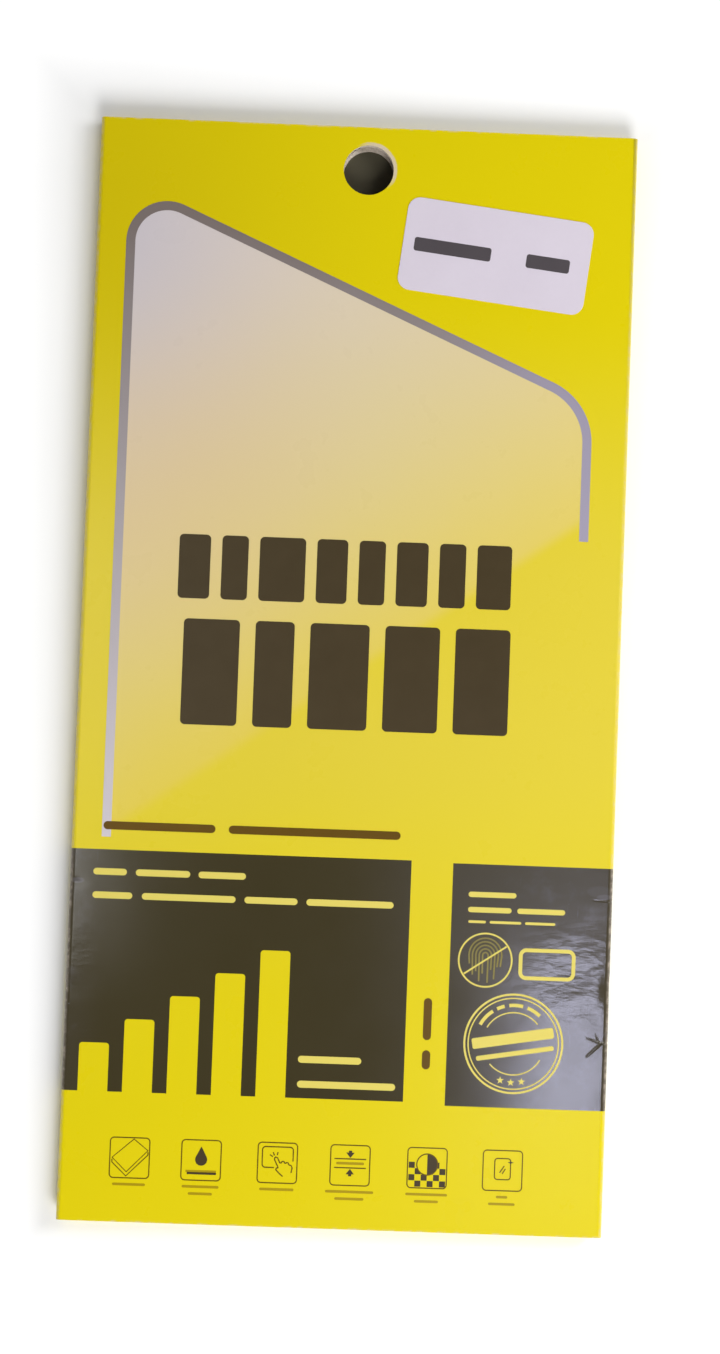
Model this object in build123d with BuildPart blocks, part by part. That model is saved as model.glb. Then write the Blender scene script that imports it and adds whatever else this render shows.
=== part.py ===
from build123d import *
import os

# Sealed retail pack for a phone screen protector: a folded card carton with a paper label on its front.
# It lies on its back with the printed front up. X runs across the pack, Y towards the hang hole and Z up
# out of the front, and the origin is under the middle of the pack. All sizes are in millimetres.

# Carton, over its outside faces
PACK_WIDTH = 86.0
PACK_HEIGHT = 175.0
PACK_DEPTH = 3.6

# Coated board and how it folds and laps
BOARD = 0.4
FOLD_INSIDE = 0.4  # inner radius of a fold
GLUE_LINE = 0.12  # space between two boards that are glued face to face
SEAM_DEPTH = 0.6  # how far a lapped seam stays open below its fold
DUST_FLAP = 12.0  # how far the flaps of the side walls reach in below a closure

# Header, the empty top of the carton
HEADER_HEIGHT = 14.0  # from the top edge down to what is packed inside
HANG_HOLE_RADIUS = 4.0
HANG_HOLE_DROP = 6.9  # from the top edge to the middle of the hole

# Paper label, stuck on a little out of square
LABEL_WIDTH = 30.0
LABEL_HEIGHT = 15.0
LABEL_CORNER = 2.0
LABEL_PAPER = 0.1
LABEL_INSET = 22.2  # from the right edge to the middle of the label
LABEL_DROP = 19.9  # from the top edge to the middle of the label
LABEL_TURN = -6.5  # degrees

# Places that follow from those sizes
fold = FOLD_INSIDE + BOARD
top = PACK_HEIGHT / 2
right = PACK_WIDTH / 2
closure_end = right - fold
lip_face = PACK_DEPTH - 2 * BOARD - GLUE_LINE
flap_face = 2 * BOARD + GLUE_LINE - right

# Section of a lapped seam: the cut edge of one board on the left, and beside it, past the glue line, the
# fold of the board that is tucked in and glued behind it. The surface is the X axis, with the board above.
with BuildSketch() as lapped_seam:
    with BuildLine():
        Polyline(
            (GLUE_LINE + fold, 0),
            (0, 0),
            (0, fold + SEAM_DEPTH),
            (GLUE_LINE, fold + SEAM_DEPTH),
            (GLUE_LINE, fold),
        )
        CenterArc((GLUE_LINE + fold, fold), fold, 180, 90)
    make_face()

# Section of what a fold takes off a square corner, with the corner at the origin
with BuildSketch() as folded_corner:
    with BuildLine():
        Polyline((0, fold), (0, 0), (fold, 0))
        CenterArc((fold, fold), fold, 180, 90)
    make_face()

with BuildPart() as carton:
    # The board tube with what it holds. Three long edges are folds, and at the fourth the side wall ends
    # in a square cut edge.
    with BuildSketch(Plane.XZ):
        with Locations((0, PACK_DEPTH / 2)):
            RectangleRounded(PACK_WIDTH, PACK_DEPTH, fold)
        with Locations((-right, 0)):
            Rectangle(BOARD, fold, align=(Align.MIN, Align.MIN))
    extrude(amount=top, both=True)

    # Glued seam down the back, where the side wall laps over the glue flap of the back panel
    with BuildSketch(Plane.XZ):
        with Locations((BOARD - right, 0)):
            add(lapped_seam.sketch)
    extrude(amount=top, both=True, mode=Mode.SUBTRACT)

    # At both ends the side walls fold in as dust flaps, one board below the closure that lies on them
    with BuildSketch(Plane.XY):
        with BuildLine():
            Polyline(
                (closure_end, top - BOARD),
                (closure_end, top),
                (right, top),
                (right, top - BOARD - fold),
            )
            CenterArc((closure_end, top - BOARD - fold), fold, 0, 90)
        make_face()
        mirror(about=Plane.XZ)
        mirror(about=Plane.YZ)
    extrude(amount=PACK_DEPTH - fold, mode=Mode.SUBTRACT)

    # Each closure folds over from the back panel, and its lip is glued behind the cut edge of the front
    for end in (1, -1):
        with BuildSketch(Plane((end * right, end * top, 0), x_dir=(0, -end, 0), z_dir=(-end, 0, 0))):
            add(folded_corner.sketch)
        extrude(amount=PACK_WIDTH, mode=Mode.SUBTRACT)
        cut_edge = (end * closure_end, end * top, PACK_DEPTH - BOARD)
        with BuildSketch(Plane(cut_edge, x_dir=(0, 0, -1), z_dir=(-end, 0, 0))):
            add(lapped_seam.sketch)
        extrude(amount=2 * closure_end, mode=Mode.SUBTRACT)

    # Empty header, between the glue flap and the far side wall and up to the dust flaps
    with BuildSketch(Plane.XZ.offset(2 * BOARD - top)):
        with Locations((flap_face, BOARD)):
            RectangleRounded(
                right - BOARD - flap_face,
                lip_face - BOARD,
                FOLD_INSIDE,
                align=(Align.MIN, Align.MIN),
            )
    extrude(amount=HEADER_HEIGHT - 2 * BOARD, mode=Mode.SUBTRACT)

    # Between the dust flaps it reaches up to the closure, with the inside of the closure's two folds
    with BuildSketch(Plane.YZ):
        with Locations((top - HEADER_HEIGHT, BOARD)):
            Rectangle(HEADER_HEIGHT - BOARD, lip_face - BOARD, align=(Align.MIN, Align.MIN))
        fillet(vertices().group_by(Axis.X)[-1], FOLD_INSIDE)
    extrude(amount=right - DUST_FLAP, both=True, mode=Mode.SUBTRACT)

    with Locations((0, top - HANG_HOLE_DROP, PACK_DEPTH)):
        Hole(HANG_HOLE_RADIUS)
carton.part.label = "carton"

with BuildPart() as label:
    with BuildSketch(Plane.XY.offset(PACK_DEPTH)):
        with Locations((right - LABEL_INSET, top - LABEL_DROP)):
            RectangleRounded(LABEL_WIDTH, LABEL_HEIGHT, LABEL_CORNER, rotation=LABEL_TURN)
    extrude(amount=LABEL_PAPER)
label.part.label = "label"

os.makedirs("parts", exist_ok=True)
export_step(carton.part, "parts/carton.step")
export_step(label.part, "parts/label.step")
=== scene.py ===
"""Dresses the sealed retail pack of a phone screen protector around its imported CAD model.

The frame is in metres: X across the front, Y towards the hang hole and Z up out of the printed front. The
sizes in the classes are in millimetres, as in the part's source, and become metres as each mesh is made.
"""

import logging
import math
from collections.abc import Iterable, Mapping, Sequence
from dataclasses import dataclass
from enum import Enum

import bmesh
import bpy
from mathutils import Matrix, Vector


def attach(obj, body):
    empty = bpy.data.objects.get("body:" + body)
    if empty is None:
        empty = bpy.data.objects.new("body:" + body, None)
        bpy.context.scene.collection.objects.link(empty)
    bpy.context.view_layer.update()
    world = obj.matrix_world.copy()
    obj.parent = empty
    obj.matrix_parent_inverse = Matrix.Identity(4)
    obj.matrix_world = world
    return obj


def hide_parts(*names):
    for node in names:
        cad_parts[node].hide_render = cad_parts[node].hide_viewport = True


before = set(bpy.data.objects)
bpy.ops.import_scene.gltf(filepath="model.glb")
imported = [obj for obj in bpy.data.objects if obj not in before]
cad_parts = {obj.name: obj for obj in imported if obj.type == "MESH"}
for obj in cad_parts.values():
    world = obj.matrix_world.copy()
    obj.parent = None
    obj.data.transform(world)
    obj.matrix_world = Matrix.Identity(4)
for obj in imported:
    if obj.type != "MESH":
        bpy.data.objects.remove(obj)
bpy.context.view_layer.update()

log = logging.getLogger("pack")

MM = 0.001
PER_MM = 1000.0
BODY = "root"

Colour = tuple[float, float, float, float]
Point = tuple[float, float]
Triple = tuple[float, float, float]
Finish = bpy.types.Material
Piece = bpy.types.Object
Socket = bpy.types.NodeSocket
Tree = bpy.types.NodeTree


def ink(red: int, green: int, blue: int) -> Colour:
    """Mixes an ink that is written as sRGB levels.

    Args:
        red: its red, from 0 to 255.
        green: its green.
        blue: its blue.

    Returns:
        Its linear colour.
    """

    def linear(level: int) -> float:
        """Returns one sRGB level as linear light."""
        share = level / 255
        return share / 12.92 if share <= 0.04045 else ((share + 0.055) / 1.055) ** 2.4

    return (linear(red), linear(green), linear(blue), 1.0)


BLACK = ink(0, 0, 0)
WHITE = ink(255, 255, 255)


@dataclass(frozen=True)
class PackSize:
    """The carton's own sizes, as in the part's source.

    Attributes:
        half_width: from the middle to a side wall.
        half_height: from the middle to an end.
        depth: from the back to the front.
        board: the board's thickness.
        fold: a fold's outer radius, which is also how far from the side walls the end closures are cut.
        hole: the hang hole's middle.
        hole_radius: its radius.
    """

    half_width: float = 43.0
    half_height: float = 87.5
    depth: float = 3.6
    board: float = 0.4
    fold: float = 0.8
    hole: Point = (0.0, 80.6)
    hole_radius: float = 4.0


PACK = PackSize()


class Signal:
    """An output socket of a node tree, which takes part in Python sums."""

    def __init__(self, graph: "Graph", socket: Socket) -> None:
        """Keeps the socket and the graph that new nodes go to."""
        self.graph = graph
        self.socket = socket

    def _maths(self, operation: str, first: "Value", second: "Value" = 0.0) -> "Signal":
        """Returns the result of a new Math node on two operands."""
        return self.graph.node("ShaderNodeMath", {"operation": operation}, {0: first, 1: second})

    def __add__(self, other: "Value") -> "Signal":
        """Returns the sum."""
        return self._maths("ADD", self, other)

    def __radd__(self, other: float) -> "Signal":
        """Returns the sum with a number in front."""
        return self._maths("ADD", other, self)

    def __sub__(self, other: "Value") -> "Signal":
        """Returns the difference."""
        return self._maths("SUBTRACT", self, other)

    def __rsub__(self, other: float) -> "Signal":
        """Returns a number less this signal."""
        return self._maths("SUBTRACT", other, self)

    def __mul__(self, other: "Value") -> "Signal":
        """Returns the product."""
        return self._maths("MULTIPLY", self, other)

    def __rmul__(self, other: float) -> "Signal":
        """Returns the product with a number in front."""
        return self._maths("MULTIPLY", other, self)

    def __truediv__(self, other: "Value") -> "Signal":
        """Returns the quotient."""
        return self._maths("DIVIDE", self, other)

    def __pow__(self, other: float) -> "Signal":
        """Returns the power."""
        return self._maths("POWER", self, other)

    def __abs__(self) -> "Signal":
        """Returns the size without its sign."""
        return self._maths("ABSOLUTE", self)

    def most(self, other: "Value") -> "Signal":
        """Returns the larger of two values."""
        return self._maths("MAXIMUM", self, other)


Value = Signal | float
Tint = Signal | Colour


class Graph:
    """A node tree that is being wired up, for a surface, the sky or Geometry Nodes."""

    def __init__(self, tree: Tree) -> None:
        """Keeps the tree that the nodes go to."""
        self.tree = tree

    @staticmethod
    def socket(sockets: Iterable[Socket], key: int | str) -> Socket:
        """Finds one of a node's sockets.

        Args:
            sockets: the node's inputs or its outputs.
            key: the socket's index, identifier or name.

        Returns:
            The socket.
        """
        found = list(sockets)
        if isinstance(key, int):
            return found[key]
        named = [each for each in found if each.identifier == key]
        return (named or [each for each in found if each.name == key])[0]

    def feed(self, socket: Socket, value: object) -> None:
        """Gives a socket a value or links.

        Args:
            socket: the socket.
            value: a plain value, a signal, or a list of signals.
        """
        if isinstance(value, Signal):
            self.tree.links.new(value.socket, socket)
        elif isinstance(value, list):
            for each in value:
                self.tree.links.new(each.socket, socket)
        else:
            socket.default_value = value

    def node(
        self,
        kind: str,
        settings: Mapping[str, object] | None = None,
        inputs: Mapping[int | str, object] | None = None,
        output: int | str = 0,
    ) -> Signal:
        """Adds a node, sets it up and feeds its sockets.

        Args:
            kind: Blender's name for the type of node.
            settings: the node's own properties, set before its sockets are fed.
            inputs: a value, a signal or a list of signals for each socket, by index, identifier or name.
            output: which output to give back.

        Returns:
            The chosen output as a signal.
        """
        added = self.tree.nodes.new(kind)
        for name, value in (settings or {}).items():
            setattr(added, name, value)
        for key, value in (inputs or {}).items():
            self.feed(self.socket(added.inputs, key), value)
        return Signal(self, self.socket(added.outputs, output))


@dataclass(frozen=True)
class Place:
    """Where a point of a surface is.

    Attributes:
        vector: the object's own coordinates, in metres, for textures.
        x: across the front, in millimetres.
        y: along the pack, in millimetres.
        z: up from the back, in millimetres.
    """

    vector: Signal
    x: Signal
    y: Signal
    z: Signal

    def away(self, middle: Point) -> Signal:
        """Returns how far the point is from a place on the front."""
        across, along = self.x - middle[0], self.y - middle[1]
        return (across * across + along * along) ** 0.5


class Shader(Graph):
    """The node tree of one material."""

    def __init__(self, name: str) -> None:
        """Starts a material with a bare Principled shader.

        Args:
            name: the material's name.
        """
        self.material = bpy.data.materials.new(name)
        self.material.use_nodes = True
        super().__init__(self.material.node_tree)
        self.surface = self.tree.nodes["Principled BSDF"]

    def place(self) -> Place:
        """Adds the object's own coordinates.

        Returns:
            The coordinates, whole and apart.
        """
        vector = self.node("ShaderNodeTexCoord", output="Object")
        apart = [self.node("ShaderNodeSeparateXYZ", None, {0: vector}, axis) * PER_MM for axis in range(3)]
        return Place(vector, *apart)

    def mix(self, share: Value, first: Tint, second: Tint) -> Signal:
        """Returns a colour between two colours, the first where the share is nought."""
        colours = {"Factor_Float": share, "A_Color": first, "B_Color": second}
        return self.node("ShaderNodeMix", {"data_type": "RGBA"}, colours, "Result_Color")

    def rise(self, value: Signal, low: float, high: float) -> Signal:
        """Returns a smooth step from nought at the low value to one at the high value."""
        ends = {"Value": value, "From Min": low, "From Max": high}
        return self.node("ShaderNodeMapRange", {"interpolation_type": "SMOOTHSTEP"}, ends)

    def within(self, value: Signal, low: float, high: float, soft: float) -> Signal:
        """Returns one between two values and nought outside them, with soft ends."""
        return self.rise(value, low - soft, low + soft) * (1 - self.rise(value, high - soft, high + soft))

    def noise(self, vector: Signal, size: float, detail: float = 3.0, rough: float = 0.55) -> Signal:
        """Adds cloudy noise.

        Args:
            vector: the coordinates that it lies on, in metres.
            size: the width of its largest spots, in millimetres.
            detail: how many finer layers it has.
            rough: how strong the finer layers are.

        Returns:
            The noise, between nought and one.
        """
        scale = {"Vector": vector, "Scale": PER_MM / size, "Detail": detail, "Roughness": rough}
        return self.node("ShaderNodeTexNoise", None, scale)

    def stretched(self, vector: Signal, scale: Point, turn: float) -> Signal:
        """Returns coordinates that are turned by some degrees on the front and scaled along X and Y."""
        settings = {"Vector": vector, "Rotation": (0.0, 0.0, math.radians(turn)), "Scale": (*scale, 1.0)}
        return self.node("ShaderNodeMapping", None, settings)

    def finish(self, **sockets: object) -> Finish:
        """Feeds the Principled shader.

        Args:
            sockets: values or signals for its sockets, with underscores for the spaces in their names.

        Returns:
            The finished material.
        """
        for name, value in sockets.items():
            title = name.replace("_", " ").title().replace("Ior", "IOR")
            self.feed(self.socket(self.surface.inputs, title), value)
        return self.material

    def relief(self, height: Signal) -> Signal:
        """Returns the surface normal of a relief whose height is in millimetres."""
        return self.node("ShaderNodeBump", None, {"Strength": 1.0, "Distance": MM, "Height": height})


@dataclass(frozen=True)
class Fleck:
    """Noise that is cut down to spots.

    Attributes:
        size: width of the largest spots.
        detail: how many finer layers the noise has.
        ends: the noise at which a spot starts and is full.
        weight: how strongly the spots show.
    """

    size: float
    detail: float
    ends: Point
    weight: float

    def spots(self, shader: Shader, vector: Signal) -> Signal:
        """Returns how strongly a spot shows at a point."""
        return shader.rise(shader.noise(vector, self.size, self.detail), *self.ends) * self.weight


@dataclass(frozen=True)
class Laminate:
    """The clear satin film over the print: how it shines and how the board under it waves.

    Attributes:
        shine: how strongly it mirrors, where 0.5 is usual for plastic.
        wave: width and height of the board's slow waves.
        grain: width and height of the board's fine grain.
        scatter: width of the spots in which the roughness wanders, and how far it does.
    """

    shine: float = 0.14
    wave: Point = (16.0, 0.035)
    grain: Point = (0.9, 0.0016)
    scatter: Point = (7.0, 0.05)

    def cover(
        self, shader: Shader, at: Place, colour: Signal, rough: Value, relief: Value = 0.0
    ) -> Finish:
        """Lays the film over a printed colour.

        Args:
            shader: the material's tree.
            at: where the point is.
            colour: the printed colour.
            rough: the roughness before it wanders.
            relief: more height for the surface, in millimetres.

        Returns:
            The finished material.
        """
        waves = shader.noise(at.vector, self.wave[0], detail=1.0) * self.wave[1]
        grain = shader.noise(at.vector, self.grain[0], detail=2.0) * self.grain[1]
        cloud = shader.noise(at.vector, self.scatter[0], detail=4.0) - 0.5
        return shader.finish(
            base_color=colour,
            roughness=cloud * self.scatter[1] + rough,
            specular_ior_level=self.shine,
            normal=shader.relief(waves + grain + relief),
        )


@dataclass(frozen=True)
class Rub:
    """Print that has rubbed off to the bare board at the folds, at the ends and round the hang hole; along
    the folds it is also a painted highlight.

    Attributes:
        bare: the board that shows.
        rough: how much rougher the bare board is than the film.
        sunk: how far it lies under the print.
        speckle: width of the largest rubbed spots, and how many finer layers they have.
        side: how far from a side wall the rubbing starts and is full.
        front: the same from the front.
        end: the same from an end.
        fold_share: how much is gone all along a fold, which also paints the fold lighter against its dark
            shading, and how much more in its spots.
        fold_spots: the noise at which a spot on a fold starts and is full.
        end_share: how much is gone in the spots at an end.
        end_spots: the noise at which a spot at an end starts and is full.
        torn: which way from the hole's middle its rim is torn, as a unit vector.
        torn_reach: how far that way the tearing starts and is full.
        torn_width: how much the speckle and the tearing widen the torn rim.
        torn_edge: where the torn rim starts to fade and is gone.
        torn_share: how much of the print is gone there.
    """

    bare: Colour = ink(214, 198, 180)
    rough: float = 0.3
    sunk: float = 0.01
    speckle: Point = (1.1, 5.0)
    side: Point = (0.7, 0.1)
    front: Point = (0.9, 0.2)
    end: Point = (0.35, 0.02)
    fold_share: Point = (0.16, 0.4)
    fold_spots: Point = (0.42, 0.68)
    end_share: float = 0.6
    end_spots: Point = (0.45, 0.7)
    torn: Point = (0.8, 0.6)
    torn_reach: Point = (0.4, 3.2)
    torn_width: Point = (0.4, 0.32)
    torn_edge: Point = (-0.1, 0.12)
    torn_share: float = 0.85

    def share(self, shader: Shader, at: Place) -> Signal:
        """Works out how much of the print is gone.

        Args:
            shader: the material's tree.
            at: where the point is.

        Returns:
            The share, from nought to one.
        """
        speckle = shader.noise(at.vector, *self.speckle)
        edges = (
            (abs(at.x), PACK.half_width, self.side),
            (at.z, PACK.depth, self.front),
            (abs(at.y), PACK.half_height, self.end),
        )
        side, front, end = (
            shader.rise(value, edge - start, edge - full) for value, edge, (start, full) in edges
        )
        spots = shader.rise(speckle, *self.fold_spots)
        # Rub along the folds: wear, and also a painted highlight that lightens the folds' dark shading.
        fold = side * front * (self.fold_share[0] + self.fold_share[1] * spots)
        end = end * front * shader.rise(speckle, *self.end_spots) * self.end_share
        across, along = at.x - PACK.hole[0], at.y - PACK.hole[1]
        tear = shader.rise(across * self.torn[0] + along * self.torn[1], *self.torn_reach)
        from_rim = at.away(PACK.hole) - PACK.hole_radius
        from_rim = from_rim - speckle * self.torn_width[0] - tear * self.torn_width[1]
        rim = (1 - shader.rise(from_rim, *self.torn_edge)) * tear * self.torn_share
        return fold.most(end).most(rim)


@dataclass(frozen=True)
class GroundPrint:
    """The carton's yellow ground, paler in a broad band across the middle and darker at the top left, where
    shade is painted.

    Attributes:
        film: the film over it.
        rub: where it has rubbed off.
        yellow: the ground.
        deep: the ground where the ink is heavier in clouds, and the painted shade at the top left.
        pale: the ground in the middle of the band.
        cloud: width of its clouds.
        band: middle of the band, and how far from there it starts to fade and is gone.
        band_share: how strong the band is, and how much more in a cloud.
        corner: middle of the painted shade at the top left.
        corner_shade_reach: how far from there the painted shade is gone.
        cloud_and_shade_share: how much heavier the ink is in a cloud, and how strong the painted shade is in
            that corner.
        rough: roughness of the film over it.
    """

    film: Laminate = Laminate()
    rub: Rub = Rub()
    yellow: Colour = ink(226, 207, 4)
    deep: Colour = ink(206, 184, 3)
    pale: Colour = ink(227, 207, 62)
    cloud: float = 30.0
    band: Triple = (4.0, 8.0, 58.0)
    band_share: Point = (0.75, 0.4)
    corner: Point = (-46.0, 70.0)
    corner_shade_reach: float = 58.0
    cloud_and_shade_share: Point = (0.1, 0.55)
    rough: float = 0.28

    def corner_shade_share(self, shader: Shader, at: Place) -> Signal:
        """Returns how near a point is to the painted shade at the top left."""
        return 1 - shader.rise(at.away(self.corner), 0.0, self.corner_shade_reach)

    def tint(self, shader: Shader, at: Place) -> Signal:
        """Works out the ground's colour.

        Args:
            shader: the material's tree.
            at: where the point is.

        Returns:
            The colour.
        """
        cloud = shader.noise(at.vector, self.cloud, detail=4.0)
        band = 1 - shader.rise(abs(at.y - self.band[0]), *self.band[1:])
        band = band * (self.band_share[0] + cloud * self.band_share[1])
        # Heavier ink in the clouds, and painted shade that darkens the top left.
        heavy_and_shaded = cloud * self.cloud_and_shade_share[0] + self.corner_shade_share(shader, at) * self.cloud_and_shade_share[1]
        return shader.mix(heavy_and_shaded, shader.mix(band, self.yellow, self.pale), self.deep)

    def build(self) -> Finish:
        """Builds the ground under its film, rubbed.

        Returns:
            The finished material.
        """
        shader = Shader("ground_print")
        at = shader.place()
        rubbed = self.rub.share(shader, at)
        colour = shader.mix(rubbed, self.tint(shader, at), self.rub.bare)
        rough = self.rough + rubbed * self.rub.rough
        return self.film.cover(shader, at, colour, rough, rubbed * -self.rub.sunk)


@dataclass(frozen=True)
class GlintMark:
    """A small painted highlight: its middle, its reach along X and Y, its strength, and from where on it
    fades.
    """

    middle: Point
    reach: Point
    strength: float
    fade: float = 0.2

    def share(self, shader: Shader, at: Place) -> Signal:
        """Returns how strong the mark is at a point."""
        across, along = (at.x - self.middle[0]) / self.reach[0], (at.y - self.middle[1]) / self.reach[1]
        return (1 - shader.rise(across * across + along * along, self.fade, 1.0)) * self.strength


@dataclass(frozen=True)
class PanelPrint:
    """The dark panels under a glossier film, which is scuffed and crumpled towards the folds, where its sheen
    is painted in a bluish grey.

    Attributes:
        film: the film over them.
        rub: where they have rubbed off.
        dark: the panels.
        thin: the panels where the ink is thinner.
        clouds: width of the thinner places, and how thin they get.
        scuff_sheen_grey: the bluish grey of the scuffs, which also paints the film's sheen.
        right_wear: where wear and painted sheen of the right panel start along X, and where they are full.
        left_wear: the same for the left panel.
        left_share: how much weaker wear and painted sheen are on the left panel.
        scuff_and_sheen: how much of that grey is painted all over the worn places as sheen.
        scratch: the scratches.
        scratch_lie: how the scratches are drawn out along X and Y, and their turn.
        patch: the scuffed patches, which also mottle the painted sheen.
        dust: the specks of dust.
        marks: the painted highlights on the dents and creases by the folds.
        glint_share: how strong a mark's painted highlight is, and how much more for each share of patches.
        crumple: width and height of the crumples.
        crumple_lie: how the crumples are drawn out along X and Y, and their turn.
        crumpled: lower and upper end of the stretch where the crumples are strongest, and its softness.
        crumple_share: how strong the crumples are elsewhere, and how much more in that stretch.
        rough: roughness of the film over it.
    """

    film: Laminate = Laminate(shine=0.3)
    rub: Rub = Rub()
    dark: Colour = ink(60, 53, 29)
    thin: Colour = ink(74, 66, 46)
    clouds: Point = (9.0, 0.3)
    scuff_sheen_grey: Colour = ink(128, 126, 138)
    right_wear: Point = (22.0, 40.0)
    left_wear: Point = (-36.0, -42.5)
    left_share: float = 0.6
    scuff_and_sheen: float = 0.06
    scratch: Fleck = Fleck(0.9, 4.0, (0.62, 0.78), 0.35)
    scratch_lie: tuple[Point, float] = ((1.0, 0.12), -38.0)
    patch: Fleck = Fleck(5.0, 6.0, (0.5, 0.8), 0.25)
    dust: Fleck = Fleck(0.7, 2.0, (0.74, 0.8), 0.6)
    marks: tuple[GlintMark, ...] = (
        GlintMark((-41.7, -34.2), (1.3, 0.6), 1.0),
        GlintMark((41.7, -33.9), (1.7, 0.55), 1.0),
        GlintMark((40.9, -33.1), (2.8, 1.3), 0.45),
    )
    glint_share: Point = (0.3, 1.6)
    crumple: Point = (2.6, 0.075)
    crumple_lie: tuple[Point, float] = ((0.45, 1.0), 12.0)
    crumpled: Triple = (-54.0, -40.0, 4.0)
    crumple_share: Point = (0.3, 0.7)
    rough: float = 0.14

    def build(self) -> Finish:
        """Builds the panels' print under its film, scuffed and rubbed, with painted sheen and highlights.

        Returns:
            The finished material.
        """
        shader = Shader("panel_print")
        at = shader.place()
        thin = shader.noise(at.vector, self.clouds[0], detail=5.0) * self.clouds[1]
        left_wear = shader.rise(at.x * -1.0, -self.left_wear[0], -self.left_wear[1])
        wear = shader.rise(at.x, *self.right_wear) + left_wear * self.left_share
        scratches = self.scratch.spots(shader, shader.stretched(at.vector, *self.scratch_lie))
        scuff_sheen_patches = self.patch.spots(shader, at.vector)
        # Painted sheen: a bluish grey all over the worn places stands in for the film's reflection, with real
        # scratches and dust in it.
        scuff_and_sheen = wear * (self.scuff_and_sheen + scratches + scuff_sheen_patches + self.dust.spots(shader, at.vector))
        # Painted highlights on the dents and creases by the folds.
        for mark in self.marks:
            scuff_and_sheen = scuff_and_sheen.most(mark.share(shader, at) * (self.glint_share[0] + self.glint_share[1] * scuff_sheen_patches))
        rubbed = self.rub.share(shader, at)
        scuffed_and_sheened = shader.mix(scuff_and_sheen, shader.mix(thin, self.dark, self.thin), self.scuff_sheen_grey)
        colour = shader.mix(rubbed, scuffed_and_sheened, self.rub.bare)
        stretch = shader.within(at.y, *self.crumpled)
        height = wear * (self.crumple_share[0] + self.crumple_share[1] * stretch) * self.crumple[1]
        folds = shader.stretched(at.vector, *self.crumple_lie)
        relief = shader.noise(folds, self.crumple[0]) * height - rubbed * self.rub.sunk
        return self.film.cover(shader, at, colour, self.rough + rubbed * self.rub.rough, relief)


@dataclass(frozen=True)
class PanePrint:
    """The pale field in the stripe's bend: lilac white, greyer at its top left where shade is painted, and
    yellow by its slanting foot.

    Attributes:
        ground: the ground that it fades into.
        film: the film over it.
        pale: its palest colour.
        cool_shade: the lilac grey of the painted shade at its top left.
        cool_shade_share: how strong that painted shade is.
        deep: its colour where it fades out.
        blush: the peach tone at its left.
        blush_middle: where the blush is strongest.
        blush_reach: how far from there it starts to fade and is gone.
        blush_share: how strong the blush is.
        base: how pale it is at the middle of the pack.
        slope: how much paler it gets for each millimetre along X and Y.
        cloud: width of its clouds, and how much paler they are.
        fade: how pale it is where it is wholly deep and wholly pale.
        foot: height of its slanting foot at the middle of the pack.
        foot_rise: how far the foot rises for each millimetre along X.
        soft: half the softness of the foot.
        rough: roughness of the film over it.
    """

    ground: GroundPrint
    film: Laminate = Laminate()
    pale: Colour = ink(221, 208, 203)
    cool_shade: Colour = ink(204, 198, 207)
    cool_shade_share: float = 0.92
    deep: Colour = ink(228, 205, 50)
    blush: Colour = ink(224, 190, 138)
    blush_middle: Point = (-36.0, 33.0)
    blush_reach: Point = (4.0, 44.0)
    blush_share: float = 0.35
    base: float = 0.137
    slope: Point = (-0.005, 0.0098)
    cloud: Point = (22.0, 0.05)
    fade: Point = (-0.15, 1.15)
    foot: float = 0.1
    foot_rise: float = 0.705
    soft: float = 1.6
    rough: float = 0.28

    def build(self) -> Finish:
        """Builds the field under its film, on the ground that it fades into.

        Returns:
            The finished material.
        """
        shader = Shader("pane_print")
        at = shader.place()
        share = at.x * self.slope[0] + at.y * self.slope[1] + self.base
        share = share + (shader.noise(at.vector, self.cloud[0]) - 0.5) * self.cloud[1]
        field = shader.mix(shader.rise(share, *self.fade), self.deep, self.pale)
        blush = 1 - shader.rise(at.away(self.blush_middle), *self.blush_reach)
        field = shader.mix(blush * self.blush_share, field, self.blush)
        # Painted shade: a cool lilac grey darkens the field's top left, as on the ground.
        field = shader.mix(self.ground.corner_shade_share(shader, at) ** 2 * self.cool_shade_share, field, self.cool_shade)
        above_foot = at.y - at.x * self.foot_rise - self.foot
        shown = shader.rise(above_foot, -self.soft, self.soft)
        colour = shader.mix(shown, self.ground.tint(shader, at), field)
        return self.film.cover(shader, at, colour, self.rough)


@dataclass(frozen=True)
class StripePrint:
    """The grey stripe, dark at its bend and paler towards both ends.

    Attributes:
        film: the film over it.
        dark: its colour at the bend.
        pale: its colour at the far end.
        lilac: its tone at the right end.
        lilac_reach: where along X that tone starts and is full.
        lilac_share: how strong that tone is.
        bend: how far up it starts to get paler.
        slope: how much paler it gets for each millimetre down from there.
        cloud: width of its clouds, and how much paler they are.
        rough: roughness of the film over it.
    """

    film: Laminate = Laminate()
    dark: Colour = ink(124, 113, 109)
    pale: Colour = ink(210, 203, 210)
    lilac: Colour = ink(160, 154, 184)
    lilac_reach: Point = (8.0, 36.0)
    lilac_share: float = 0.6
    bend: float = 72.0
    slope: float = 0.0098
    cloud: Point = (6.0, 0.06)
    rough: float = 0.3

    def build(self) -> Finish:
        """Builds the print under its film.

        Returns:
            The finished material.
        """
        shader = Shader("stripe_print")
        at = shader.place()
        cloud = (shader.noise(at.vector, self.cloud[0]) - 0.5) * self.cloud[1]
        grey = shader.mix((self.bend - at.y) * self.slope + cloud, self.dark, self.pale)
        colour = shader.mix(shader.rise(at.x, *self.lilac_reach) * self.lilac_share, grey, self.lilac)
        return self.film.cover(shader, at, colour, self.rough)


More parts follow.
